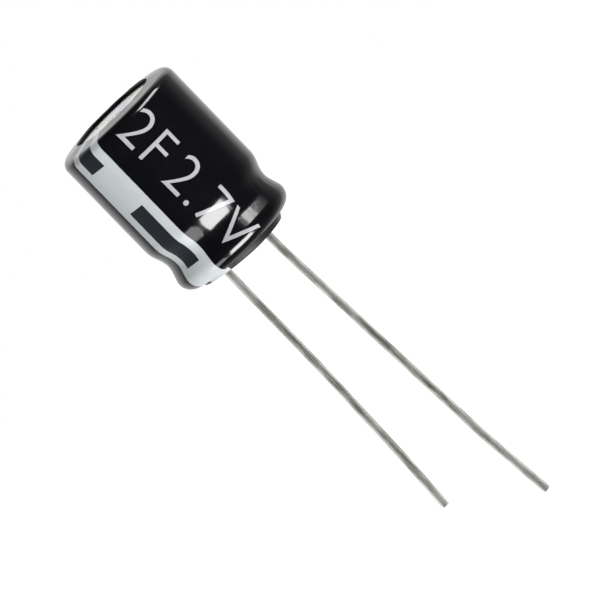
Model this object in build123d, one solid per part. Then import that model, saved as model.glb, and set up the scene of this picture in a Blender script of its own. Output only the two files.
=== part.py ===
from build123d import *
from math import atan2, cos, floor, radians, sin, sqrt, tan
import os

# Radial-lead electric double-layer capacitor, in millimetres.
# The origin is on the can's axis, in the plane that meets the circuit board. The can
# stands above it, the two leads go down through the board, and +X points to the anode lead.

# Can: a deep-drawn aluminium cup, mouth down, grooved and rolled in over its rubber seal
can_diameter = 10.0
can_wall = 0.30
can_top_thickness = 0.40
can_top_z = 13.38  # outside of the closed end
can_shoulder_radius = 0.56  # outside
groove_z = 2.95  # narrowest place of the groove that grips the seal
groove_depth = 0.475
groove_upper_radius = 2.25  # hollow side of the groove, above its narrowest place
groove_lower_radius = 1.45  # hollow side of the groove, below it
groove_rise = 2.00  # from the narrowest place up to the full wall
wall_blend_radius = 2.05  # round from the groove into the full wall
curl_radius = 0.85  # outside of the rolled edge
curl_z = 1.50
curl_inset = 0.11  # the rolled edge is this much narrower than the wall, a side
curl_lip = 0.25  # flat end of the rolled edge, past its round

# Vent: two crossing V grooves pressed into the closed end
vent_length = 5.0
vent_width = 0.36
vent_depth = 0.14

# Sleeve: one piece of heat-shrunk film with a rim over each end of the can
film = 0.14
top_rim_width = 1.60  # from the can's side to the film's cut edge
top_rim_rise = 9.3  # degrees; the film lifts off the closed end
bottom_rim_width = 1.25  # from the can's side to where the film turns down
collar_height = 0.42  # the film's turned-down edge, which meets the board
collar_taper = 0.25  # its lower edge is this much further in

# Rubber seal
seal_bottom_z = 0.72
seal_top_z = 4.20
seal_chamfer = 0.25

# Leads and tabs: tinned steel wire welded to aluminium tabs that pass through the seal
lead_pitch = 5.0
wire_diameter = 0.6
weld_z = 1.60  # the wire ends and the tab begins here, inside the seal
boss_diameter = 1.5
boss_above_seal = 0.10
tab_width = 2.0
tab_thickness = 0.15
tab_end_below_winding_top = 1.30
wire_end_chamfer = 0.06

# Each lead: how far it drops before each bend and at its end, with its lean after the bend
anode_drop = (1.70, 21.90, 27.70)
anode_lean = (4.1, 7.1)  # degrees, outwards
anode_bend_radius = (20.0, 40.0)
cathode_drop = (9.50, 18.00, 22.80)
cathode_lean = (1.6, 3.5)
cathode_bend_radius = (60.0, 60.0)

# Winding: two coated foils with a separator outside each, wound together on a pin
core_radius = 1.20
electrode_thickness = 0.25
separator_thickness = 0.05
separator_overhang = 0.30  # past the electrodes, at each end
winding_above_seal = 1.10
winding_below_lid = 0.13
tape_thickness = 0.05
tape_inset = 0.95  # from the winding's ends to the tape's edges

# Clearances
fit_gap = 0.01  # film on can, seal in can, tab in seal, and between wound layers
winding_side_gap = 0.06  # the taped winding in the can

can_radius = can_diameter / 2
lead_radius = lead_pitch / 2
wire_radius = wire_diameter / 2
curl_centre_r = can_radius - curl_inset - curl_radius
can_inner_top_z = can_top_z - can_top_thickness


def flank(low, high, low_radius, high_radius):
    """Smooth step between two upright walls: a round, a slope and a round.

    low and high are the (r, z) points where the step leaves each wall.
    """
    side = 1 if high[0] > low[0] else -1
    depth, height = abs(high[0] - low[0]), high[1] - low[1]
    both = low_radius + high_radius
    slope_length = sqrt(depth**2 - 2 * both * depth + height**2)
    lean = atan2(height, both - depth) - atan2(slope_length, both)

    def on_low(angle):
        return (low[0] + side * low_radius * (1 - cos(angle)), low[1] + low_radius * sin(angle))

    def on_high(angle):
        return (high[0] - side * high_radius * (1 - cos(angle)), high[1] - high_radius * sin(angle))

    return [
        ThreePointArc(low, on_low(lean / 2), on_low(lean)),
        Line(on_low(lean), on_high(lean)),
        ThreePointArc(on_high(lean), on_high(lean / 2), high),
    ]


def step_radii(depth, height, low_radius, high_radius):
    """The two radii of a step, made smaller together where the step has no room for them."""
    room = 0.95 * (height**2 + depth**2) / (2 * depth)
    share = min(1, room / (low_radius + high_radius))
    return low_radius * share, high_radius * share


def can_side(offset):
    """The can's outline moved out by offset, from the bottom of its rolled edge to its wall."""
    curl_r = can_radius - curl_inset
    groove_r = can_radius - groove_depth
    low_out, low_in = step_radii(
        groove_depth - curl_inset, groove_z - curl_z, curl_radius, groove_lower_radius
    )
    high_in, high_out = step_radii(
        groove_depth, groove_rise, groove_upper_radius, wall_blend_radius
    )
    curl = curl_radius + offset
    widest, groove = (curl_r + offset, curl_z), (groove_r + offset, groove_z)
    wall = (can_radius + offset, groove_z + groove_rise)
    slant = radians(45)
    edges = [
        ThreePointArc(
            (curl_centre_r, curl_z - curl),
            (curl_centre_r + curl * cos(slant), curl_z - curl * sin(slant)),
            widest,
        )
    ]
    edges += flank(widest, groove, low_out + offset, low_in - offset)
    edges += flank(groove, wall, high_in - offset, high_out + offset)
    return edges, wall


def outline(*edges):
    """A face in the XZ plane, from edges drawn as (r, z)."""
    return Plane.XZ * make_face(Curve() + list(edges))


def turned(*edges):
    return revolve(outline(*edges), Axis.Z, 360)


def round_corner(centre, radius, start, end):
    """A quarter or less of a circle about centre, between two angles in degrees."""

    def at(angle):
        return (centre[0] + radius * cos(radians(angle)), centre[1] + radius * sin(radians(angle)))

    return ThreePointArc(at(start), at((start + end) / 2), at(end)), at(start), at(end)


def make_can():
    """Closed at the top; its mouth below is grooved, then rolled in to a short flat lip."""
    outer, outer_wall = can_side(0)
    inner, inner_wall = can_side(-can_wall)
    shoulder_centre = (can_radius - can_shoulder_radius, can_top_z - can_shoulder_radius)
    shoulder, shoulder_low, shoulder_high = round_corner(shoulder_centre, can_shoulder_radius, 0, 90)
    inner_radius = can_shoulder_radius - can_wall
    inner_centre = (shoulder_centre[0], can_inner_top_z - inner_radius)
    inner_shoulder, inner_low, inner_high = round_corner(inner_centre, inner_radius, 0, 90)
    lip_end = curl_centre_r - curl_lip
    lip_low, lip_high = curl_z - curl_radius, curl_z - curl_radius + can_wall
    body = turned(
        *outer,
        Line(outer_wall, shoulder_low),
        shoulder,
        Line(shoulder_high, (0, can_top_z)),
        Line((0, can_top_z), (0, can_inner_top_z)),
        Line((0, can_inner_top_z), inner_high),
        inner_shoulder,
        Line(inner_low, inner_wall),
        *inner,
        Line((curl_centre_r, lip_high), (lip_end, lip_high)),
        Line((lip_end, lip_high), (lip_end, lip_low)),
        Line((lip_end, lip_low), (curl_centre_r, lip_low)),
    )
    score = Plane.YZ * make_face(
        Polyline(
            (-vent_width / 2, can_top_z),
            (0, can_top_z - vent_depth),
            (vent_width / 2, can_top_z),
            close=True,
        )
    )
    groove = extrude(score, vent_length / 2, both=True)
    return body - groove - Rot(0, 0, 90) * groove


def film_rim(offset, reach):
    """The film's top: its round over the shoulder, then a cone out to reach from the axis."""
    centre = (can_radius - can_shoulder_radius, can_top_z - can_shoulder_radius)
    arc, low, high = round_corner(centre, can_shoulder_radius + offset, 0, 90 - top_rim_rise)
    rise = (high[0] - reach) * tan(radians(top_rim_rise))
    edge = (reach, high[1] + rise)
    return [arc, Line(high, edge)], low, edge


def make_sleeve():
    """Film that follows the can's side, covers the edge of its top and turns down below it."""
    inside, outside = fit_gap, fit_gap + film
    inner, inner_wall = can_side(inside)
    outer, outer_wall = can_side(outside)
    edge_r = can_radius - top_rim_width
    inner_top, inner_low, inner_edge = film_rim(inside, edge_r)
    outer_top, outer_low, outer_edge = film_rim(outside, edge_r)
    turn_r = can_radius - bottom_rim_width
    inner_bottom = curl_z - curl_radius - inside
    collar_r = turn_r - collar_taper
    return turned(
        *inner,
        Line(inner_wall, inner_low),
        *inner_top,
        Line(inner_edge, outer_edge),
        *outer_top,
        Line(outer_low, outer_wall),
        *outer,
        Line((curl_centre_r, curl_z - curl_radius - outside), (turn_r, collar_height)),
        Line((turn_r, collar_height), (collar_r, 0)),
        Line((collar_r, 0), (collar_r - film, 0)),
        Line((collar_r - film, 0), (turn_r - film, inner_bottom)),
        Line((turn_r - film, inner_bottom), (curl_centre_r, inner_bottom)),
    )


def make_end_seal():
    """Rubber bung that fills the can's mouth inside the groove and the rolled edge."""
    side, wall = can_side(-can_wall - fit_gap)
    plug_r = curl_centre_r - curl_lip - fit_gap
    lip_top = curl_z - curl_radius + can_wall + fit_gap
    plug = turned(
        *side,
        Line(wall, (0, wall[1])),
        Line((0, wall[1]), (0, seal_bottom_z)),
        Line((0, seal_bottom_z), (plug_r, seal_bottom_z)),
        Line((plug_r, seal_bottom_z), (plug_r, lip_top)),
        Line((plug_r, lip_top), (curl_centre_r, lip_top)),
    )
    above = Pos(0, 0, seal_top_z) * Cylinder(
        can_radius, wall[1] - seal_top_z, align=(Align.CENTER, Align.CENTER, Align.MIN)
    )
    seal = plug - above
    top_edge = seal.edges().group_by(Axis.Z)[-1]
    seal = chamfer(top_edge, seal_chamfer)
    for x in (-lead_radius, lead_radius):
        seal -= upright(x, boss_diameter / 2 + fit_gap, weld_z, seal_top_z)
        seal -= upright(x, wire_radius + fit_gap, seal_bottom_z, weld_z)
    return seal


def upright(x, radius, low, high):
    """A plain cylinder on an upright axis at x, between two heights."""
    return Pos(x, 0, low) * Cylinder(
        radius, high - low, align=(Align.CENTER, Align.CENTER, Align.MIN)
    )


def make_lead(side, drop, lean, bend_radius):
    """Round wire, down from the weld, with two slight bends outwards."""
    first = lead_radius + (drop[1] - drop[0]) * tan(radians(lean[0]))
    second = first + (drop[2] - drop[1]) * tan(radians(lean[1]))
    route = FilletPolyline(
        (side * lead_radius, 0, weld_z),
        (side * lead_radius, 0, -drop[0]),
        (side * first, 0, -drop[1]),
        (side * second, 0, -drop[2]),
        radius=bend_radius,
    )
    section = Plane(origin=route @ 0, z_dir=route % 0) * Circle(wire_radius)
    wire = sweep(section, path=route)
    cut_end = wire.faces().sort_by(Axis.Z)[0]
    return chamfer(cut_end.edges(), wire_end_chamfer)


# The wound layers, out from the core, each with its inner face's distance from the layer start
layer_start = {}
next_start = 0
for layer, thickness in (
    ("anode", electrode_thickness),
    ("inner", separator_thickness),
    ("cathode", electrode_thickness),
    ("outer", separator_thickness),
):
    layer_start[layer] = next_start
    next_start += thickness + fit_gap
turn_pitch = next_start

# Each half turn is half a circle, larger than the last by half the pitch, about one of two
# centres in turn. The halves meet on the X axis, where both are upright to it.
winding_room = can_radius - can_wall - winding_side_gap - tape_thickness - fit_gap
half_turns = floor((winding_room - core_radius - 5 * turn_pitch / 4) / (turn_pitch / 2)) + 1
winding_low_z = seal_top_z + winding_above_seal
winding_high_z = can_inner_top_z - winding_below_lid


def half_centre(half):
    return (-1 if half % 2 == 0 else 1) * turn_pitch / 4


def half_arc(half, distance):
    """One half turn of the curve that lies distance out from the start of the layers."""
    centre, radius = half_centre(half), core_radius + half * turn_pitch / 2 + distance
    side = 1 if half % 2 == 0 else -1
    return ThreePointArc(
        (centre + side * radius, 0), (centre, side * radius), (centre - side * radius, 0)
    )


def wound(inner, outer):
    """Section of a wound strip whose faces lie at two distances."""
    arcs = [half_arc(half, d) for half in range(half_turns) for d in (inner, outer)]
    ends = [
        Line(half_arc(half, inner) @ end, half_arc(half, outer) @ end)
        for half, end in ((0, 0), (half_turns - 1, 1))
    ]
    return make_face(Curve() + arcs + ends)


def between(section, low, high):
    return extrude(Pos(0, 0, low) * section, high - low, dir=(0, 0, 1))


def side_of(electrode):
    return 1 if electrode == "anode" else -1


def tab_section(electrode, slack):
    """Section of a tab's blade, which lies in its foil where that passes nearest to the lead."""
    side = side_of(electrode)
    if electrode == "anode":
        outer = electrode_thickness
        inner = outer - tab_thickness - slack
        middle = outer - tab_thickness / 2
    else:
        inner = layer_start["cathode"]
        outer = inner + tab_thickness + slack
        middle = inner + tab_thickness / 2
    first_turn_at = core_radius - side * turn_pitch / 4 + middle
    turn = round((lead_radius - first_turn_at) / turn_pitch)
    upper_half, lower_half = 2 * turn, 2 * turn - side
    corner = tab_width / 2 + slack

    def at(distance, y):
        half = upper_half if y > 0 else lower_half
        radius = core_radius + half * turn_pitch / 2 + distance
        return (half_centre(half) + side * sqrt(radius**2 - y**2), y)

    def bow(distance, start, end):
        middle_y = (start + end) / 2
        return ThreePointArc(at(distance, start), at(distance, middle_y), at(distance, end))

    return make_face(
        Curve()
        + [
            bow(outer, 0, corner),
            Line(at(outer, corner), at(inner, corner)),
            bow(inner, corner, 0),
            bow(inner, 0, -corner),
            Line(at(inner, -corner), at(outer, -corner)),
            bow(outer, -corner, 0),
        ]
    )


def boss_section(side):
    """The boss's round, cut in six arcs where the blade's middles and corners will lie."""
    cuts = [0, 50, 130, 180, 230, 310, 360]
    radius = boss_diameter / 2

    def at(angle):
        return (side * (lead_radius + radius * cos(radians(angle))), radius * sin(radians(angle)))

    arcs = [
        ThreePointArc(at(start), at((start + end) / 2), at(end))
        for start, end in zip(cuts, cuts[1:])
    ]
    return make_face(Curve() + arcs)


def make_tab(electrode):
    """Aluminium tab: a round boss in the seal, pressed flat above it into a curved blade."""
    side = side_of(electrode)
    boss_top = seal_top_z + boss_above_seal
    blade = tab_section(electrode, 0)
    blade_low = winding_low_z - 2 * fit_gap
    blade_top = winding_high_z - tab_end_below_winding_top
    boss = upright(side * lead_radius, boss_diameter / 2, weld_z, boss_top)
    shank = loft([Pos(0, 0, boss_top) * boss_section(side), Pos(0, 0, blade_low) * blade])
    return boss + shank + between(blade, blade_low, blade_top)


def make_electrode(electrode):
    """Foil coated with carbon on both faces, with the coating left off where its tab lies."""
    start = layer_start[electrode]
    low, high = winding_low_z + separator_overhang, winding_high_z - separator_overhang
    strip = between(wound(start, start + electrode_thickness), low, high)
    tab_top = winding_high_z - tab_end_below_winding_top + fit_gap
    return strip - between(tab_section(electrode, fit_gap), winding_low_z, tab_top)


def make_separator(name):
    start = layer_start[name]
    return between(wound(start, start + separator_thickness), winding_low_z, winding_high_z)


def tape_face(distance):
    """Area inside a taut wrap that lies distance out from the last full turn."""
    last = half_turns - 1
    end = half_arc(last, distance) @ 1
    centre = half_centre(last - 1)
    radius = core_radius + (last - 1) * turn_pitch / 2 + distance
    side = 1 if end.X > 0 else -1
    reach = radius / abs(end.X - centre)
    landing = (centre + side * radius * reach, side * radius * sqrt(1 - reach**2))
    top = (centre, side * radius)
    before = half_arc(last - 1, distance) @ 1
    return make_face(
        Curve()
        + [
            Line(end, landing),
            ThreePointArc(landing, top, before),
            half_arc(last, distance),
        ]
    )


def make_winding_tape():
    """One taut turn of film about the middle of the winding."""
    ring = tape_face(turn_pitch + tape_thickness) - tape_face(turn_pitch)
    return between(ring, winding_low_z + tape_inset, winding_high_z - tape_inset)


nodes = {
    "sleeve": make_sleeve(),
    "can": make_can(),
    "end_seal": make_end_seal(),
    "anode_lead": make_lead(1, anode_drop, anode_lean, anode_bend_radius),
    "cathode_lead": make_lead(-1, cathode_drop, cathode_lean, cathode_bend_radius),
    "anode_tab": make_tab("anode"),
    "cathode_tab": make_tab("cathode"),
    "anode_electrode": make_electrode("anode"),
    "cathode_electrode": make_electrode("cathode"),
    "inner_separator": make_separator("inner"),
    "outer_separator": make_separator("outer"),
    "winding_tape": make_winding_tape(),
}

os.makedirs("parts", exist_ok=True)
for name, shape in nodes.items():
    export_step(shape, f"parts/{name}.step")
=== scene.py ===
import math

import bmesh
import bpy
from mathutils import Matrix, Vector
from mathutils.bvhtree import BVHTree


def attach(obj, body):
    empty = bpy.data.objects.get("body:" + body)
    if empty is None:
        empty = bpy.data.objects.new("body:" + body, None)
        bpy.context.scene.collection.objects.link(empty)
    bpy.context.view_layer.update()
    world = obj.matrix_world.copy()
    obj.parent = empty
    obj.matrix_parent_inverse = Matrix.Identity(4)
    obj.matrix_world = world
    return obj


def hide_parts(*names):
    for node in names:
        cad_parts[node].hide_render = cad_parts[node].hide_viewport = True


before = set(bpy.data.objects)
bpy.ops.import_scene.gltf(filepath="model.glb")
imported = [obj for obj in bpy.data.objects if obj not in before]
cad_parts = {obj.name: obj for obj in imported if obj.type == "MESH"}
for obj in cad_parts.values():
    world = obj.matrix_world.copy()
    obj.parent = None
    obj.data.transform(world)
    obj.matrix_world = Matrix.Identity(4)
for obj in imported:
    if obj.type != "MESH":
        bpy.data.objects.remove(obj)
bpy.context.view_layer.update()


# ---- Camera ------------------------------------------------------------------------------
# A long lens looks a little down on the capacitor, from the side with the pale stripe on its
# left. It is rolled, so that the leads run down to the right.

mm = 0.001
view_azimuth = math.radians(-39.1)
view_elevation = math.radians(7.4)
view_roll = math.radians(44.07)
view_distance = 1200 * mm
lens_length = 1017
sensor_width = 36
aim_right = 0.34 * mm
aim_height = -5.24 * mm

view_right = Vector((math.cos(view_azimuth), math.sin(view_azimuth), 0))
view_back = Vector((
    math.sin(view_azimuth) * math.cos(view_elevation),
    -math.cos(view_azimuth) * math.cos(view_elevation),
    math.sin(view_elevation),
))
view_up = view_back.cross(view_right)

lens = bpy.data.cameras.new("camera")
lens.lens = lens_length
lens.sensor_width = sensor_width
lens.clip_start = 50 * mm
lens.clip_end = 5
camera = bpy.data.objects.new("camera", lens)
bpy.context.scene.collection.objects.link(camera)
level = Matrix((view_right, view_up, view_back)).transposed()
place = (level @ Matrix.Rotation(-view_roll, 3, "Z")).to_4x4()
place.translation = aim_right * view_right + Vector((0, 0, aim_height)) + view_distance * view_back
camera.matrix_world = place
bpy.context.scene.camera = camera
bpy.context.scene.view_settings.view_transform = "Standard"


# ---- Room, floor and lamps ---------------------------------------------------------------
# A white room with a pale floor below the leads and a weak lamp high behind. Three bright lamps
# in front and on the right are for the glossy film alone, and four wide, weak ones are for all
# but the film. A white sweep behind shows in the glossy surfaces.

room_fill = 0.50
floor_below = 460 * mm
floor_size = 6.0
floor_tone = 0.80
floor_glow = 0.75


def put(tree, source, socket):
    """A number or a colour is written on the socket, and another node's output is linked to it."""
    if isinstance(source, bpy.types.NodeSocket):
        tree.links.new(source, socket)
    elif source is not None:
        socket.default_value = source


def put_colour(tree, source, socket):
    """The same for a colour of three numbers."""
    put(tree, source if isinstance(source, bpy.types.NodeSocket) else (*source, 1), socket)


def calc(tree, operation, first, second=None, third=None):
    """The output of a Math node."""
    made = tree.nodes.new("ShaderNodeMath")
    made.operation = operation
    for value, socket in zip((first, second, third), made.inputs):
        put(tree, value, socket)
    return made.outputs[0]


def ramp(tree, factor, stops):
    """A Color Ramp with stops of (position, colour)."""
    made = tree.nodes.new("ShaderNodeValToRGB")
    put(tree, factor, made.inputs["Fac"])
    band = made.color_ramp
    while len(band.elements) < len(stops):
        band.elements.new(0.5)
    for element, (position, colour) in zip(band.elements, stops):
        element.position = position
        element.color = (*colour, 1)
    return made.outputs["Color"]


def grey(value):
    return (value, value, value)


def light_room():
    """White to the camera, a sweep behind the object to glossy rays, and an even fill otherwise."""
    world = bpy.data.worlds.new("room")
    bpy.context.scene.world = world
    world.use_nodes = True
    tree = world.node_tree
    tree.nodes.clear()
    path = tree.nodes.new("ShaderNodeLightPath")
    direction = tree.nodes.new("ShaderNodeTexCoord").outputs["Generated"]
    behind = tree.nodes.new("ShaderNodeVectorMath")
    behind.operation = "DOT_PRODUCT"
    tree.links.new(direction, behind.inputs[0])
    behind.inputs[1].default_value = (-view_back).normalized()
    facing = calc(tree, "MULTIPLY_ADD", behind.outputs["Value"], 0.5, 0.5)
    sweep = ramp(tree, facing, [
        (0.0, grey(0.010)),
        (0.46, grey(0.015)),
        (0.58, grey(0.05)),
        (0.70, grey(0.14)),
        (0.80, grey(0.22)),
        (0.86, grey(0.52)),
        (1.0, grey(0.75)),
    ])
    shaders = []
    for colour, strength in ((grey(1), room_fill), (sweep, 1), (grey(1), 1)):
        shader = tree.nodes.new("ShaderNodeBackground")
        put_colour(tree, colour, shader.inputs["Color"])
        shader.inputs["Strength"].default_value = strength
        shaders.append(shader.outputs[0])
    seen_in = calc(tree, "MAXIMUM", path.outputs["Is Glossy Ray"], path.outputs["Is Transmission Ray"])
    mirror = tree.nodes.new("ShaderNodeMixShader")
    front = tree.nodes.new("ShaderNodeMixShader")
    put(tree, seen_in, mirror.inputs[0])
    put(tree, shaders[0], mirror.inputs[1])
    put(tree, shaders[1], mirror.inputs[2])
    put(tree, path.outputs["Is Camera Ray"], front.inputs[0])
    put(tree, mirror.outputs[0], front.inputs[1])
    put(tree, shaders[2], front.inputs[2])
    put(tree, front.outputs[0], tree.nodes.new("ShaderNodeOutputWorld").inputs["Surface"])


def soft_lamp(name, azimuth, elevation, distance, width, height, radiance, aim):
    """A rectangular lamp, placed round the view direction in degrees, that faces aim."""
    turn = view_azimuth + math.radians(azimuth)
    lift = math.radians(elevation)
    back = Vector((math.sin(turn) * math.cos(lift), -math.cos(turn) * math.cos(lift), math.sin(lift)))
    lamp = bpy.data.lights.new(name, "AREA")
    lamp.shape = "RECTANGLE"
    lamp.size = width
    lamp.size_y = height
    lamp.energy = math.pi * radiance * width * height
    body = bpy.data.objects.new(name, lamp)
    body.location = aim + distance * back
    body.rotation_euler = back.to_track_quat("Z", "Y").to_euler()
    body.visible_camera = False
    bpy.context.scene.collection.objects.link(body)
    return body


def lay_floor(height):
    """A wide pale sheet, white from above with the shadow on it, and clear from below. The room's
    own sweep shows in glossy surfaces in its place, so no horizon line crosses them."""
    mesh = bpy.data.meshes.new("floor")
    half = floor_size / 2
    corners = [(-half, -half, height), (half, -half, height), (half, half, height), (-half, half, height)]
    mesh.from_pydata(corners, [], [(0, 1, 2, 3)])
    floor = bpy.data.objects.new("floor", mesh)
    bpy.context.scene.collection.objects.link(floor)
    paper = bpy.data.materials.new("pale_paper")
    paper.use_nodes = True
    tree = paper.node_tree
    tree.nodes.clear()
    path = tree.nodes.new("ShaderNodeLightPath")
    matt = tree.nodes.new("ShaderNodeBsdfDiffuse")
    matt.inputs["Color"].default_value = (*grey(floor_tone), 1)
    glow = tree.nodes.new("ShaderNodeEmission")
    glow.inputs["Color"].default_value = (1, 1, 1, 1)
    put(tree, calc(tree, "MULTIPLY", path.outputs["Is Camera Ray"], floor_glow), glow.inputs["Strength"])
    both = tree.nodes.new("ShaderNodeAddShader")
    put(tree, matt.outputs[0], both.inputs[0])
    put(tree, glow.outputs[0], both.inputs[1])
    clear = tree.nodes.new("ShaderNodeBsdfTransparent")
    from_below = tree.nodes.new("ShaderNodeMixShader")
    put(tree, tree.nodes.new("ShaderNodeNewGeometry").outputs["Backfacing"], from_below.inputs[0])
    put(tree, both.outputs[0], from_below.inputs[1])
    put(tree, clear.outputs[0], from_below.inputs[2])
    put(tree, from_below.outputs[0], tree.nodes.new("ShaderNodeOutputMaterial").inputs["Surface"])
    mesh.materials.append(paper)
    floor.visible_glossy = False


light_room()
lay_floor(-floor_below)
bead_middle = Vector((0, 0, 3 * mm))
leads_middle = Vector((0, 0, -12 * mm))
film_only = bpy.data.collections.new("film_only")
all_but_film = bpy.data.collections.new("all_but_film")
soft_lamp("high_back_lamp", 178, 36, 500 * mm, 700 * mm, 330 * mm, 0.26, bead_middle)
for lamp in (
    soft_lamp("low_front_lamp", 6, -43, 500 * mm, 400 * mm, 250 * mm, 9.0, bead_middle),
    soft_lamp("low_left_lamp", -54, -41, 500 * mm, 240 * mm, 210 * mm, 2.0, bead_middle),
    soft_lamp("high_right_lamp", 64, 33, 500 * mm, 460 * mm, 170 * mm, 6.5, bead_middle),
):
    lamp.light_linking.receiver_collection = film_only
for lamp in (
    soft_lamp("left_wall_lamp", -95, 5, 600 * mm, 900 * mm, 900 * mm, 0.85, leads_middle),
    soft_lamp("right_wall_lamp", 95, 5, 600 * mm, 900 * mm, 900 * mm, 0.85, leads_middle),
    soft_lamp("front_lamp", 0, 20, 800 * mm, 900 * mm, 900 * mm, 0.40, leads_middle),
    soft_lamp("top_lamp", 180, 48, 600 * mm, 900 * mm, 600 * mm, 0.60, bead_middle),
):
    lamp.light_linking.receiver_collection = all_but_film


def light_as_film(piece):
    """The film's own lamps light this piece, and the wide weak ones leave it out."""
    film_only.objects.link(piece)
    all_but_film.objects.link(piece)
    for item in all_but_film.collection_objects:
        item.light_linking.link_state = "EXCLUDE"


# ---- Sleeve ------------------------------------------------------------------------------
# A length of black film, printed with a pale stripe of minus marks down the cathode's side.
# It is slipped over the can and shrunk on with hot air, so it follows the bead and laps both
# ends, with a free cut edge at each.

film_wall = 0.14
collar_low = (3.50, 0.0)
collar_high = (3.75, 0.42)
curl_centre = (4.04, 1.50)
curl_radius = 1.00
groove_foot = (4.675, 2.95)
under_groove_radius = 1.30
over_groove_radius = 2.08
wall_foot = (5.15, 4.95)
wall_foot_radius = 2.18
shoulder_centre = (4.44, 12.82)
shoulder_radius = 0.71
lap_rise = 9.3
lap_inner = 3.40
turns_round = 320
pleat_crowding = 14.0
pleat_spread = 1.1
lip_crowding = 1.6
lip_depth = 0.30
wave_middle = 0.6
weld_distance = 0.0005


def round_part(centre, radius, start, end, steps):
    """Points (r, z) of the film's section on an arc, from one direction to the other in degrees."""
    turns = [math.radians(start + (end - start) * i / steps) for i in range(steps + 1)]
    return [(centre[0] + radius * math.cos(a), centre[1] + radius * math.sin(a)) for a in turns]


def step_part(low, high, low_radius, high_radius, steps):
    """Points of a smooth step between two upright stretches: an arc, a lean and an arc back."""
    side = 1 if high[0] > low[0] else -1
    depth = abs(high[0] - low[0])
    rise = high[1] - low[1]
    both = low_radius + high_radius
    slope = math.sqrt(depth ** 2 - 2 * both * depth + rise ** 2)
    lean = math.atan2(rise, both - depth) - math.atan2(slope, both)
    first = []
    last = []
    for i in range(steps + 1):
        across = 1 - math.cos(lean * i / steps)
        up = math.sin(lean * i / steps)
        first.append((low[0] + side * low_radius * across, low[1] + low_radius * up))
        last.append((high[0] - side * high_radius * across, high[1] - high_radius * up))
    return first + last[::-1]


def straight_part(start, end, steps):
    """Points between two others, both left out."""
    shares = [i / steps for i in range(1, steps)]
    return [(start[0] + (end[0] - start[0]) * t, start[1] + (end[1] - start[1]) * t) for t in shares]


def film_section(inset, steps):
    """One face of the film from the collar's foot to the lap's cut edge, moved in by inset."""
    bead = (curl_centre[0] + curl_radius - inset, curl_centre[1])
    groove = (groove_foot[0] - inset, groove_foot[1])
    foot = (wall_foot[0] - inset, wall_foot[1])
    head = (wall_foot[0] - inset, shoulder_centre[1])
    lap_start = 90 - lap_rise
    shoulder = round_part(shoulder_centre, shoulder_radius - inset, 0, lap_start, steps)
    lap_length = (shoulder[-1][0] - lap_inner) / math.cos(math.radians(lap_rise))
    lap_end = (lap_inner, shoulder[-1][1] + lap_length * math.sin(math.radians(lap_rise)))
    return (
        [(collar_low[0] - inset, collar_low[1]), (collar_high[0] - inset, collar_high[1] + 1.5 * inset)]
        + round_part(curl_centre, curl_radius - inset, -90, -3, 2 * steps)
        + step_part(bead, groove, curl_radius - inset, under_groove_radius + inset, steps)
        + step_part(groove, foot, over_groove_radius + inset, wall_foot_radius - inset, steps)[1:]
        + straight_part(foot, head, steps)
        + shoulder
        + straight_part(shoulder[-1], lap_end, steps)
        + [lap_end]
    )


def with_support(points, gap):
    """The same outline with a point close to each side of every sharp corner, so that it stays crisp."""
    out = []
    for before, here, after in zip(points[-1:] + points[:-1], points, points[1:] + points[:1]):
        a, h, b = Vector(before), Vector(here), Vector(after)
        sharp = (h - a).length > 0 and (b - h).length > 0 and (h - a).angle(b - h) > math.radians(40)
        if sharp:
            out.append(tuple(h + (a - h).normalized() * gap))
        out.append(tuple(h))
        if sharp:
            out.append(tuple(h + (b - h).normalized() * gap))
    return out


def geometry_tree(name, inputs):
    """A Geometry Nodes tree with those named inputs, and its input and output nodes."""
    tree = bpy.data.node_groups.new(name, "GeometryNodeTree")
    tree.interface.new_socket("Geometry", in_out="INPUT", socket_type="NodeSocketGeometry")
    for label, kind in inputs:
        tree.interface.new_socket(label, in_out="INPUT", socket_type="NodeSocket" + kind)
    tree.interface.new_socket("Geometry", in_out="OUTPUT", socket_type="NodeSocketGeometry")
    return tree, tree.nodes.new("NodeGroupInput").outputs, tree.nodes.new("NodeGroupOutput").inputs[0]


def node(tree, kind, inputs=(), **settings):
    """A node with its settings and its inputs, each given by name or number."""
    made = tree.nodes.new(kind)
    for key, value in settings.items():
        setattr(made, key, value)
    for key, value in dict(inputs).items():
        put(tree, value, made.inputs[key])
    return made


def captured(tree, geometry, field, kind):
    """The geometry, and a field that keeps the value that it had there."""
    made = tree.nodes.new("GeometryNodeCaptureAttribute")
    made.capture_items.new(kind, "kept")
    put(tree, geometry, made.inputs[0])
    put(tree, field, made.inputs[1])
    return made.outputs[0], made.outputs[1]


def finished_mesh(tree, geometry, smooth, material, output):
    """The tail of each tree: smooth faces, no instances, and the piece's material."""
    rounded = node(tree, "GeometryNodeSetShadeSmooth", {"Geometry": geometry, "Shade Smooth": smooth})
    real = node(tree, "GeometryNodeRealizeInstances", {"Geometry": rounded.outputs[0]})
    painted = node(tree, "GeometryNodeSetMaterial", {"Geometry": real.outputs[0], "Material": material})
    put(tree, painted.outputs[0], output)


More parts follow.
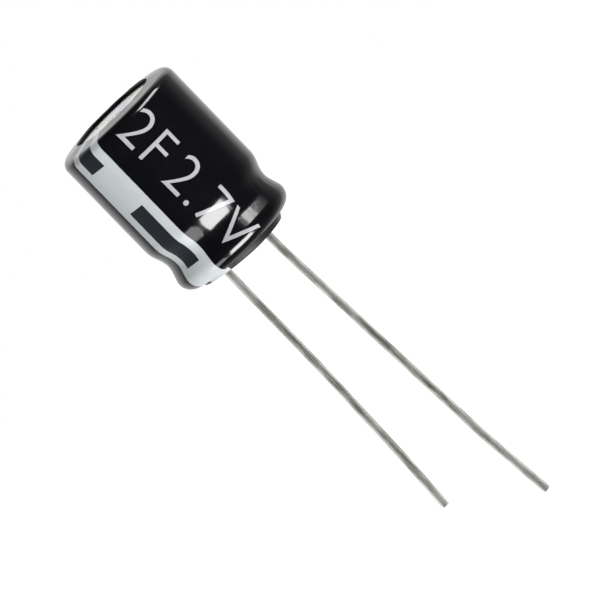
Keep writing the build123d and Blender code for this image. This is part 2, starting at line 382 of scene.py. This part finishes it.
def sleeve_tree():
    """Turns a section, given as a row of points, into a closed film that hangs a little slack."""
    tree, given, output = geometry_tree("shrunk_sleeve", [
        ("Turns Round", "Int"),
        ("Section Points", "Int"),
        ("Slack", "Float"),
        ("Slack Spacing", "Float"),
        ("Pleat Depth", "Float"),
        ("Pleat Height", "Float"),
        ("Lip Wave", "Float"),
        ("Lip Height", "Float"),
        ("Collar Lift", "Float"),
        ("Collar Flare", "Float"),
        ("Collar Height", "Float"),
        ("Short Side", "Float"),
        ("Film", "Material"),
    ])
    columns = calc(tree, "ADD", given["Turns Round"], 1)
    grid = node(tree, "GeometryNodeMeshGrid", {
        "Size X": 1.0,
        "Size Y": 1.0,
        "Vertices X": columns,
        "Vertices Y": given["Section Points"],
    })
    index = tree.nodes.new("GeometryNodeInputIndex").outputs[0]
    row = calc(tree, "MODULO", index, given["Section Points"])
    middle = calc(tree, "ADD", index, 0.5)
    column = calc(tree, "FLOOR", calc(tree, "DIVIDE", middle, given["Section Points"]))
    share = calc(tree, "DIVIDE", column, given["Turns Round"])
    angle = calc(tree, "MULTIPLY", share, 2 * math.pi)
    place = node(tree, "GeometryNodeSampleIndex", {
        "Geometry": given["Geometry"],
        "Value": tree.nodes.new("GeometryNodeInputPosition").outputs[0],
        "Index": row,
    }, data_type="FLOAT_VECTOR", domain="POINT")
    marked = node(tree, "GeometryNodeInputNamedAttribute", {"Name": "along"}, data_type="FLOAT")
    along = node(tree, "GeometryNodeSampleIndex", {
        "Geometry": given["Geometry"],
        "Value": marked.outputs[0],
        "Index": row,
    }, data_type="FLOAT", domain="POINT")
    section = node(tree, "ShaderNodeSeparateXYZ", {0: place.outputs[0]}).outputs
    cosine = calc(tree, "COSINE", angle)
    sine = calc(tree, "SINE", angle)
    surface = node(tree, "ShaderNodeCombineXYZ", {
        0: calc(tree, "MULTIPLY", section[0], cosine),
        1: calc(tree, "MULTIPLY", section[0], sine),
        2: section[2],
    })
    spread = node(tree, "ShaderNodeVectorMath", {0: surface.outputs[0]}, operation="SCALE")
    put(tree, calc(tree, "DIVIDE", 1, given["Slack Spacing"]), spread.inputs["Scale"])
    loose = node(tree, "ShaderNodeTexNoise", {"Vector": spread.outputs[0], "Scale": 1.0, "Detail": 1.0})
    slack = calc(tree, "MULTIPLY", loose.outputs[0], given["Slack"])
    around = node(tree, "ShaderNodeCombineXYZ", {0: cosine, 1: sine, 2: 0.0})
    gathered = node(tree, "ShaderNodeTexNoise", {
        "Vector": around.outputs[0],
        "Scale": pleat_crowding,
        "Detail": 2.0,
    })
    over_bead = calc(tree, "SUBTRACT", section[2], given["Pleat Height"])
    from_bead = calc(tree, "DIVIDE", over_bead, pleat_spread * mm)
    near_bead = calc(tree, "EXPONENT", calc(tree, "MULTIPLY", calc(tree, "POWER", from_bead, 2), -1))
    full_pleat = calc(tree, "MULTIPLY", gathered.outputs[0], given["Pleat Depth"])
    pleat = calc(tree, "MULTIPLY", full_pleat, near_bead)
    in_collar = node(tree, "ShaderNodeMapRange", {
        "Value": section[2],
        "From Min": given["Collar Height"],
        "From Max": 0.0,
    }, interpolation_type="SMOOTHSTEP")
    off_side = calc(tree, "COSINE", calc(tree, "SUBTRACT", angle, given["Short Side"]))
    short = calc(tree, "POWER", calc(tree, "MAXIMUM", off_side, 0.0), 1.5)
    tucked = calc(tree, "MULTIPLY", in_collar.outputs[0], short)
    collar_rise = calc(tree, "MULTIPLY", tucked, given["Collar Lift"])
    flare = calc(tree, "MULTIPLY", tucked, given["Collar Flare"])
    outward = node(tree, "ShaderNodeVectorMath", {0: around.outputs[0]}, operation="SCALE")
    put(tree, calc(tree, "ADD", calc(tree, "ADD", slack, pleat), flare), outward.inputs["Scale"])
    waved = node(tree, "ShaderNodeTexNoise", {
        "Vector": around.outputs[0],
        "Scale": lip_crowding,
        "Detail": 1.0,
    })
    lip_start = calc(tree, "SUBTRACT", given["Lip Height"], lip_depth * mm)
    to_lip = node(tree, "ShaderNodeMapRange", {
        "Value": section[2],
        "From Min": lip_start,
        "From Max": given["Lip Height"],
    }, interpolation_type="SMOOTHSTEP")
    wave = calc(tree, "MULTIPLY", calc(tree, "SUBTRACT", waved.outputs[0], wave_middle), given["Lip Wave"])
    rise = calc(tree, "MULTIPLY_ADD", wave, to_lip.outputs[0], collar_rise)
    lifted = node(tree, "ShaderNodeCombineXYZ", {2: rise})
    moved = node(tree, "ShaderNodeVectorMath", {
        0: surface.outputs[0],
        1: outward.outputs[0],
    }, operation="ADD")
    final = node(tree, "ShaderNodeVectorMath", {
        0: moved.outputs[0],
        1: lifted.outputs[0],
    }, operation="ADD")
    print_place = node(tree, "ShaderNodeCombineXYZ", {0: share, 1: along.outputs[0]})
    kept, lap = captured(tree, grid.outputs[0], print_place.outputs[0], "VECTOR")
    shaped = node(tree, "GeometryNodeSetPosition", {"Geometry": kept, "Position": final.outputs[0]})
    mapped = node(tree, "GeometryNodeStoreNamedAttribute", {
        "Geometry": shaped.outputs[0],
        "Name": "UVMap",
        "Value": lap,
    }, data_type="FLOAT2", domain="CORNER")
    closed = node(tree, "GeometryNodeMergeByDistance", {
        "Geometry": mapped.outputs[0],
        "Distance": weld_distance * mm,
    })
    finished_mesh(tree, closed.outputs[0], True, given["Film"], output)
    return tree


def object_of(name, data):
    made = bpy.data.objects.new(name, data)
    bpy.context.scene.collection.objects.link(made)
    return made


def made_by(tree, start, sizes):
    """Runs a tree on an object with those sizes, and leaves the result as that object's plain mesh."""
    modifier = start.modifiers.new("making", "NODES")
    modifier.node_group = tree
    for item in tree.interface.items_tree:
        if item.in_out == "INPUT" and item.name in sizes:
            modifier[item.identifier] = sizes[item.name]
    start.update_tag()
    bpy.context.view_layer.update()
    evaluated = start.evaluated_get(bpy.context.evaluated_depsgraph_get())
    mesh = bpy.data.meshes.new_from_object(evaluated)
    name = start.name
    bpy.data.objects.remove(start)
    mesh.name = name
    return object_of(name, mesh)


def section_object(name, points):
    """A row of points (r, z), first and last the same, that know how far along the section they are."""
    mesh = bpy.data.meshes.new(name)
    edges = [(i, i + 1) for i in range(len(points) - 1)]
    mesh.from_pydata([(r * mm, 0, z * mm) for r, z in points], edges, [])
    lengths = [0.0]
    for a, b in zip(points, points[1:]):
        lengths.append(lengths[-1] + math.dist(a, b))
    along = mesh.attributes.new("along", "FLOAT", "POINT")
    for item, length in zip(along.data, lengths):
        item.value = length / lengths[-1]
    return object_of(name, mesh), lengths


outer_face = film_section(0, 14)
inner_face = film_section(film_wall, 6)
film_outline = with_support(outer_face + inner_face[::-1], 0.015)
film_outline.append(film_outline[0])
sleeve_section, film_lengths = section_object("shrunk_sleeve", film_outline)
cut_edge = max(range(len(film_outline)), key=lambda i: film_outline[i][1])
printed_share = film_lengths[cut_edge] / film_lengths[-1]

stripe_angles = (170.2, 204.4)
mark_angles = (179.0, 195.3)
low_mark = (2.31, 7.97)
high_mark_foot = 11.81
film_black = (0.0030, 0.0030, 0.0042)
stripe_grey = (0.520, 0.553, 0.570)
# The minus marks are print. Their grey, lighter than the film's black, is a painted reflection of the room
# on that side.
mark_grey_with_painted_reflection = (0.020, 0.023, 0.028)
ink_dullness = 0.16
collar_dullness = 0.30
bead_crinkle = 0.24
wall_crinkle = 0.03
orange_peel = 0.22


def new_finish(name, **constants):
    """A material with its Principled shader's constants set on the sockets themselves."""
    made = bpy.data.materials.new(name)
    made.use_nodes = True
    shader = made.node_tree.nodes["Principled BSDF"]
    for key, value in constants.items():
        socket = shader.inputs[key.replace("_", " ")]
        socket.default_value = (*value, 1) if isinstance(value, tuple) else value
    return made, made.node_tree, shader


def grain(tree, spacing, detail=3.0, stretch=(1, 1, 1), rough=0.5):
    """Noise on the piece's own coordinates, with patches about spacing across, from 0 to 1."""
    own = tree.nodes.new("ShaderNodeTexCoord").outputs["Object"]
    scale = tuple(s / (spacing * mm) for s in stretch)
    scaled = node(tree, "ShaderNodeMapping", {"Vector": own, "Scale": scale})
    made = node(tree, "ShaderNodeTexNoise", {
        "Vector": scaled.outputs[0],
        "Scale": 1.0,
        "Detail": detail,
        "Roughness": rough,
    })
    return made.outputs[0]


def climb(tree, value, start, end):
    """0 to 1 as the value goes from start to end."""
    made = node(tree, "ShaderNodeMapRange", {"Value": value, "From Min": start, "From Max": end})
    return made.outputs[0]


def between(tree, value, low, high, soft):
    """1 between two values and 0 outside them, with soft edges."""
    rise = climb(tree, value, low - soft, low + soft)
    fall = climb(tree, value, high + soft, high - soft)
    return calc(tree, "MULTIPLY", rise, fall)


def spread_of(tree, value, low, high):
    """Noise from 0 to 1 turned into a range."""
    return node(tree, "ShaderNodeMapRange", {"Value": value, "To Min": low, "To Max": high}).outputs[0]


def mixed(tree, share, first, second):
    """Two colours mixed, each a colour or another node's output."""
    made = tree.nodes.new("ShaderNodeMix")
    made.data_type = "RGBA"
    put(tree, share, made.inputs["Factor"])
    for colour, socket in ((first, made.inputs[6]), (second, made.inputs[7])):
        put_colour(tree, colour, socket)
    return made.outputs[2]


def shaded(tree, colour, pattern, low, high):
    """A colour made darker and lighter by a pattern."""
    tone = spread_of(tree, pattern, low, high)
    made = node(tree, "ShaderNodeVectorMath", {"Scale": tone}, operation="SCALE")
    put(tree, colour, made.inputs[0])
    return made.outputs[0]


def dented(tree, shader, height, depth):
    """Bump of that depth in millimetres."""
    bump = node(tree, "ShaderNodeBump", {"Height": height, "Distance": depth * mm, "Strength": 1.0})
    put(tree, bump.outputs[0], shader.inputs["Normal"])


def film_finish():
    """Glossy black film with a printed stripe: the ink is duller, and the film crinkles at the bead."""
    made, tree, shader = new_finish(
        "shrunk_film", Specular_IOR_Level=0.90, Coat_Weight=0.45, Coat_Roughness=0.05, Coat_IOR=1.5)
    own = tree.nodes.new("ShaderNodeTexCoord").outputs
    lap = node(tree, "ShaderNodeSeparateXYZ", {0: own["UV"]}).outputs
    height = node(tree, "ShaderNodeSeparateXYZ", {0: own["Object"]}).outputs[2]
    frayed = spread_of(tree, grain(tree, 0.12), -0.0009, 0.0009)
    round_share = calc(tree, "ADD", lap[0], frayed)
    frayed_height = calc(tree, "ADD", height, calc(tree, "MULTIPLY", frayed, 32 * mm))
    soft = 0.0006
    stripe = between(tree, round_share, stripe_angles[0] / 360, stripe_angles[1] / 360, soft)
    outside = calc(tree, "LESS_THAN", lap[1], printed_share)
    stripe = calc(tree, "MULTIPLY", stripe, outside)
    mark_width = between(tree, round_share, mark_angles[0] / 360, mark_angles[1] / 360, soft)
    low = between(tree, frayed_height, low_mark[0] * mm, low_mark[1] * mm, 0.02 * mm)
    high = between(tree, frayed_height, high_mark_foot * mm, 20 * mm, 0.02 * mm)
    mark = calc(tree, "MULTIPLY", mark_width, calc(tree, "MAXIMUM", low, high))
    ink = calc(tree, "MULTIPLY", stripe, calc(tree, "SUBTRACT", 1, mark))
    mottle = grain(tree, 0.9, 4)
    black = shaded(tree, film_black, mottle, 0.7, 1.3)
    pale = shaded(tree, stripe_grey, mottle, 0.93, 1.07)
    # The printed minus marks get a painted reflection: a grey lighter than the film's black.
    dark = shaded(tree, mark_grey_with_painted_reflection, mottle, 0.85, 1.15)
    printed = mixed(tree, calc(tree, "MULTIPLY", stripe, mark), mixed(tree, ink, black, pale), dark)
    put(tree, printed, shader.inputs["Base Color"])
    scuffs = spread_of(tree, grain(tree, 1.6, 5), 0.10, 0.22)
    at_collar = climb(tree, height, 0.75 * mm, 0.45 * mm)
    dull_ink = calc(tree, "MULTIPLY", ink, ink_dullness)
    duller = calc(tree, "MAXIMUM", dull_ink, calc(tree, "MULTIPLY", at_collar, collar_dullness))
    put(tree, calc(tree, "ADD", scuffs, duller), shader.inputs["Roughness"])
    peel = grain(tree, 0.55, 2)
    crinkle = grain(tree, 0.16, 4, rough=0.65)
    at_bead = between(tree, height, 1.75 * mm, 2.75 * mm, 0.35 * mm)
    depth_here = calc(tree, "MULTIPLY_ADD", at_bead, bead_crinkle, wall_crinkle)
    rough_part = calc(tree, "MULTIPLY", crinkle, depth_here)
    dented(tree, shader, calc(tree, "MULTIPLY_ADD", peel, orange_peel, rough_part), 0.02)
    return made


shrunk_film = film_finish()
sleeve = made_by(sleeve_tree(), sleeve_section, {
    "Turns Round": turns_round,
    "Section Points": len(film_outline),
    "Slack": 0.030 * mm,
    "Slack Spacing": 2.6 * mm,
    "Pleat Depth": 0.050 * mm,
    "Pleat Height": groove_foot[1] * mm,
    "Lip Wave": 0.16 * mm,
    "Lip Height": film_outline[cut_edge][1] * mm,
    "Collar Lift": 0.24 * mm,
    "Collar Flare": 0.22 * mm,
    "Collar Height": 0.62 * mm,
    "Short Side": math.radians(160),
    "Film": shrunk_film,
})
light_as_film(sleeve)
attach(sleeve, "root")
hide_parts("sleeve")


# ---- Printed rating ----------------------------------------------------------------------
# The rating is printed on the sleeve in pale ink before it is shrunk, in plain figures that
# read down towards the leads. The ink stands on the film as a thin skin.

letter_foot = 221.1
letter_height = 2.97
letter_narrowing = 0.90
letter_gap = 1.06
letter_thinning = -0.012
strip_along = 0.12
strip_across = 0.16
ink_thickness = 0.012
ink_sunk = 0.010
ink_grey = (0.40, 0.40, 0.415)


def ink_finish():
    made, tree, shader = new_finish(
        "pale_ink", Specular_IOR_Level=0.8, Coat_Weight=0.45, Coat_Roughness=0.05)
    patches = grain(tree, 0.25, 4)
    put(tree, shaded(tree, ink_grey, patches, 0.88, 1.10), shader.inputs["Base Color"])
    put(tree, spread_of(tree, patches, 0.22, 0.36), shader.inputs["Roughness"])
    dented(tree, shader, grain(tree, 0.10, 3), 0.004)
    return made


def cut_up(mesh, axis, spacing):
    """Cuts a flat mesh across in even strips, so that it can bend."""
    values = [v.co[axis] for v in mesh.verts]
    normal = Vector((0, 0, 0))
    normal[axis] = 1
    count = math.floor((max(values) - min(values)) / spacing)
    for i in range(1, count + 1):
        geometry = mesh.verts[:] + mesh.edges[:] + mesh.faces[:]
        place = normal * (min(values) + i * spacing)
        bmesh.ops.bisect_plane(mesh, geom=geometry, plane_co=place, plane_no=normal)


def face_outward(shape):
    """Turns the faces of each closed shell outward, told by the sign of its volume."""
    bmesh.ops.recalc_face_normals(shape, faces=shape.faces)
    left = set(shape.faces)
    while left:
        first = left.pop()
        shell = [first]
        waiting = [first]
        while waiting:
            for edge in waiting.pop().edges:
                for face in edge.link_faces:
                    if face in left:
                        left.remove(face)
                        shell.append(face)
                        waiting.append(face)
        start = first.verts[0].co.copy()
        volume = 0.0
        for face in shell:
            a, b, c = (v.co - start for v in face.verts)
            volume += a.dot(b.cross(c))
        if volume < 0:
            bmesh.ops.reverse_faces(shape, faces=shell)


def print_on(sleeve_piece, name, words, top, material):
    """Words that read down the sleeve from top, laid on the film's own surface."""
    curve = bpy.data.curves.new(name, "FONT")
    curve.body = words
    curve.extrude = 0.01
    curve.offset = letter_thinning
    curve.space_character = letter_gap
    curve.resolution_u = 10
    flat = object_of(name, curve)
    bpy.context.view_layer.update()
    mesh = bpy.data.meshes.new_from_object(flat.evaluated_get(bpy.context.evaluated_depsgraph_get()))
    bpy.data.objects.remove(flat)
    shape = bmesh.new()
    shape.from_mesh(mesh)
    bmesh.ops.remove_doubles(shape, verts=shape.verts, dist=0.0001)
    low = min(v.co.y for v in shape.verts)
    left = min(v.co.x for v in shape.verts)
    scale = letter_height * mm / (max(v.co.y for v in shape.verts) - low)
    for v in shape.verts:
        v.co = Vector(((v.co.x - left) * scale * letter_narrowing, (v.co.y - low) * scale, v.co.z))
    cut_up(shape, 0, strip_along * mm)
    cut_up(shape, 1, strip_across * mm)
    bmesh.ops.triangulate(shape, faces=shape.faces)
    film = BVHTree.FromPolygons(
        [v.co for v in sleeve_piece.data.vertices], [tuple(p.vertices) for p in sleeve_piece.data.polygons])
    for v in shape.verts:
        angle = math.radians(letter_foot) + v.co.y / (wall_foot[0] * mm)
        outward = Vector((math.cos(angle), math.sin(angle), 0))
        start = outward * 8 * mm + Vector((0, 0, top * mm - v.co.x))
        hit, normal, _, _ = film.ray_cast(start, -outward)
        v.co = hit + normal * (ink_thickness if v.co.z > 0 else -ink_sunk) * mm
    face_outward(shape)
    mesh.clear_geometry()
    shape.to_mesh(mesh)
    shape.free()
    mesh.materials.clear()
    mesh.materials.append(material)
    piece = object_of(name, mesh)
    light_as_film(piece)
    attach(piece, "root")


pale_ink = ink_finish()
print_on(sleeve, "rating_capacity", "2F", 12.95, pale_ink)
print_on(sleeve, "rating_voltage", "2.7V", 8.35, pale_ink)


# ---- Can ---------------------------------------------------------------------------------
# A cup drawn from aluminium sheet. Its closed end shows inside the sleeve's upper lap, with a
# cross scored in it as a vent, and its open end is grooved and rolled in over the seal.


def coat(name, material):
    """Gives a CAD node's slots this material."""
    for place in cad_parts[name].material_slots:
        place.link = "OBJECT"
        place.material = material


def can_finish():
    made, tree, shader = new_finish("drawn_aluminium", Metallic=1.0)
    rolled = grain(tree, 0.9, 6, stretch=(0.10, 2.2, 0.4), rough=0.6)
    clouds = grain(tree, 2.4, 2)
    tint = ramp(tree, clouds, [
        (0.36, (0.70, 0.73, 0.84)),
        (0.5, (0.80, 0.81, 0.83)),
        (0.64, (0.86, 0.84, 0.77)),
    ])
    put(tree, shaded(tree, tint, rolled, 0.86, 1.10), shader.inputs["Base Color"])
    put(tree, spread_of(tree, rolled, 0.34, 0.52), shader.inputs["Roughness"])
    dented(tree, shader, rolled, 0.006)
    return made


coat("can", can_finish())


# ---- End seal ----------------------------------------------------------------------------
# A moulded butyl rubber bung. The two leads are pressed through it, and the can's groove and
# rolled edge grip it.


def rubber_finish():
    made, tree, shader = new_finish("butyl_rubber", Specular_IOR_Level=0.35)
    bloom = grain(tree, 0.7, 6, rough=0.7)
    tone = ramp(tree, bloom, [(0.40, grey(0.010)), (0.62, grey(0.028)), (0.78, grey(0.085))])
    put(tree, tone, shader.inputs["Base Color"])
    put(tree, spread_of(tree, bloom, 0.50, 0.80), shader.inputs["Roughness"])
    dented(tree, shader, grain(tree, 0.14, 4), 0.02)
    return made


coat("end_seal", rubber_finish())


# ---- Leads -------------------------------------------------------------------------------
# Copper-clad steel wire, hot-dipped in tin and welded to the tabs inside. The anode's is the
# longer. Each is bent a little by handling and sheared off square at its end.

wire_radius = 0.30
wire_sides = 28
ring_spacing = 0.10
bend_steps = 24
lump_crowding = (1800, 1800, 320)
anode_route = [(2.5, 1.6), (2.5, -1.7), (3.948, -21.9), (4.670, -27.7)]
anode_bends = (20.0, 40.0)
cathode_route = [(-2.5, 1.6), (-2.5, -9.5), (-2.737, -18.0), (-3.031, -22.8)]
cathode_bends = (60.0, 60.0)


def lead_tree():
    """Bends a route at its two corners, gives it a tinned wire's section and pinches its cut end."""
    tree, given, output = geometry_tree("sheared_lead", [
        ("Upper Bend", "Float"),
        ("Lower Bend", "Float"),
        ("Wire Radius", "Float"),
        ("Tin Lumps", "Float"),
        ("Pinch Length", "Float"),
        ("Pinch", "Float"),
        ("Tin", "Material"),
    ])
    corner = calc(tree, "SUBTRACT", tree.nodes.new("GeometryNodeInputIndex").outputs[0], 1)
    change = calc(tree, "SUBTRACT", given["Lower Bend"], given["Upper Bend"])
    bent = node(tree, "GeometryNodeFilletCurve", {
        "Curve": given["Geometry"],
        "Radius": calc(tree, "MULTIPLY_ADD", corner, change, given["Upper Bend"]),
        "Limit Radius": True,
        "Count": bend_steps,
    }, mode="POLY")
    even = node(tree, "GeometryNodeResampleCurve", {
        "Curve": bent.outputs[0],
        "Length": ring_spacing * mm,
    }, mode="LENGTH")
    with_axis, axis = captured(
        tree, even.outputs[0], tree.nodes.new("GeometryNodeInputPosition").outputs[0], "VECTOR")
    whole = tree.nodes.new("GeometryNodeSplineLength").outputs[0]
    done = tree.nodes.new("GeometryNodeSplineParameter").outputs["Length"]
    with_rest, rest = captured(tree, with_axis, calc(tree, "SUBTRACT", whole, done), "FLOAT")
    circle = node(tree, "GeometryNodeCurvePrimitiveCircle", {
        "Resolution": wire_sides,
        "Radius": given["Wire Radius"],
    })
    drawn = node(tree, "GeometryNodeCurveToMesh", {
        "Curve": with_rest,
        "Profile Curve": circle.outputs[0],
        "Fill Caps": True,
    })
    here = tree.nodes.new("GeometryNodeInputPosition").outputs[0]
    out = node(tree, "ShaderNodeVectorMath", {0: here, 1: axis}, operation="SUBTRACT")
    lumps = node(tree, "ShaderNodeVectorMath", {0: here, 1: lump_crowding}, operation="MULTIPLY")
    lumpy = node(tree, "ShaderNodeTexNoise", {"Vector": lumps.outputs[0], "Scale": 1.0, "Detail": 2.0})
    swell = calc(tree, "MULTIPLY_ADD", calc(tree, "SUBTRACT", lumpy.outputs[0], 0.5), given["Tin Lumps"], 1)
    to_end = node(tree, "ShaderNodeMapRange", {
        "Value": rest,
        "From Min": 0.0,
        "From Max": given["Pinch Length"],
        "To Min": given["Pinch"],
        "To Max": 1.0,
    }, interpolation_type="SMOOTHSTEP").outputs[0]
    squeeze = node(tree, "ShaderNodeCombineXYZ", {
        0: swell,
        1: calc(tree, "MULTIPLY", swell, to_end),
        2: 1.0,
    })
    section = node(tree, "ShaderNodeVectorMath", {
        0: out.outputs[0],
        1: squeeze.outputs[0],
    }, operation="MULTIPLY")
    final = node(tree, "ShaderNodeVectorMath", {0: axis, 1: section.outputs[0]}, operation="ADD")
    shaped = node(tree, "GeometryNodeSetPosition", {
        "Geometry": drawn.outputs[0],
        "Position": final.outputs[0],
    })
    corners = tree.nodes.new("GeometryNodeInputMeshFaceNeighbors").outputs["Vertex Count"]
    finished_mesh(tree, shaped.outputs[0], calc(tree, "LESS_THAN", corners, 5), given["Tin"], output)
    return tree


def tin_finish():
    made, tree, shader = new_finish("dipped_tin", Metallic=0.60)
    streaks = grain(tree, 0.16, 5, stretch=(1, 1, 0.07), rough=0.6)
    patches = grain(tree, 1.1, 4, stretch=(1, 1, 0.6))
    both = calc(tree, "MULTIPLY_ADD", streaks, 0.6, calc(tree, "MULTIPLY", patches, 0.4))
    tone = ramp(tree, both, [
        (0.40, (0.36, 0.36, 0.32)),
        (0.50, (0.68, 0.68, 0.64)),
        (0.60, (0.88, 0.88, 0.85)),
    ])
    put(tree, tone, shader.inputs["Base Color"])
    put(tree, spread_of(tree, streaks, 0.30, 0.50), shader.inputs["Roughness"])
    dented(tree, shader, both, 0.012)
    return made


def route_object(name, points):
    """A curve of straight runs through the route's points (x, z)."""
    curve = bpy.data.curves.new(name, "CURVE")
    curve.dimensions = "3D"
    run = curve.splines.new("POLY")
    run.points.add(len(points) - 1)
    for point, (x, z) in zip(run.points, points):
        point.co = (x * mm, 0, z * mm, 1)
    return object_of(name, curve)


dipped_tin = tin_finish()
bend_lead = lead_tree()
for lead_name, route, bends in (
    ("anode_lead", anode_route, anode_bends),
    ("cathode_lead", cathode_route, cathode_bends),
):
    lead = made_by(bend_lead, route_object(lead_name + "_wire", route), {
        "Upper Bend": bends[0] * mm,
        "Lower Bend": bends[1] * mm,
        "Wire Radius": wire_radius * mm,
        "Tin Lumps": 0.05,
        "Pinch Length": 0.30 * mm,
        "Pinch": 0.78,
        "Tin": dipped_tin,
    })
    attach(lead, "root")
    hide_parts(lead_name)


# ---- Tabs --------------------------------------------------------------------------------
# Aluminium stubs: a round boss, gripped in the seal and welded to the lead, that is pressed
# into a flat blade and laid against the foil.


def tab_finish():
    made, tree, shader = new_finish("pressed_aluminium", Metallic=1.0)
    rubbed = grain(tree, 0.3, 5, stretch=(1, 1, 0.15))
    put(tree, shaded(tree, (0.82, 0.83, 0.84), rubbed, 0.80, 1.08), shader.inputs["Base Color"])
    put(tree, spread_of(tree, rubbed, 0.25, 0.48), shader.inputs["Roughness"])
    dented(tree, shader, rubbed, 0.01)
    return made


pressed_aluminium = tab_finish()
coat("anode_tab", pressed_aluminium)
coat("cathode_tab", pressed_aluminium)


# ---- Electrodes --------------------------------------------------------------------------
# Two long aluminium foils, coated on both faces with activated carbon and wound up together.


def carbon_finish():
    made, tree, shader = new_finish("activated_carbon", Specular_IOR_Level=0.25)
    grains = grain(tree, 0.06, 6, rough=0.7)
    tone = ramp(tree, grains, [(0.35, grey(0.012)), (0.60, grey(0.030)), (0.75, grey(0.060))])
    put(tree, tone, shader.inputs["Base Color"])
    put(tree, spread_of(tree, grains, 0.75, 0.95), shader.inputs["Roughness"])
    dented(tree, shader, grains, 0.02)
    return made


carbon = carbon_finish()
coat("anode_electrode", carbon)
coat("cathode_electrode", carbon)


# ---- Separators and winding tape ---------------------------------------------------------
# Thin cellulose paper keeps the foils apart, and a turn of amber film holds the winding shut.


def paper_finish():
    made, tree, shader = new_finish("separator_paper", Specular_IOR_Level=0.2)
    fibres = grain(tree, 0.20, 7, stretch=(1, 1, 0.35), rough=0.7)
    put(tree, shaded(tree, (0.78, 0.76, 0.70), fibres, 0.82, 1.08), shader.inputs["Base Color"])
    put(tree, spread_of(tree, fibres, 0.80, 0.95), shader.inputs["Roughness"])
    dented(tree, shader, fibres, 0.015)
    return made


def tape_finish():
    made, tree, shader = new_finish("amber_tape", Coat_Weight=0.3, Coat_Roughness=0.1)
    creases = grain(tree, 0.8, 4, stretch=(1, 1, 0.2))
    put(tree, shaded(tree, (0.46, 0.22, 0.035), creases, 0.80, 1.10), shader.inputs["Base Color"])
    put(tree, spread_of(tree, creases, 0.18, 0.34), shader.inputs["Roughness"])
    dented(tree, shader, creases, 0.01)
    return made


paper = paper_finish()
coat("inner_separator", paper)
coat("outer_separator", paper)
coat("winding_tape", tape_finish())
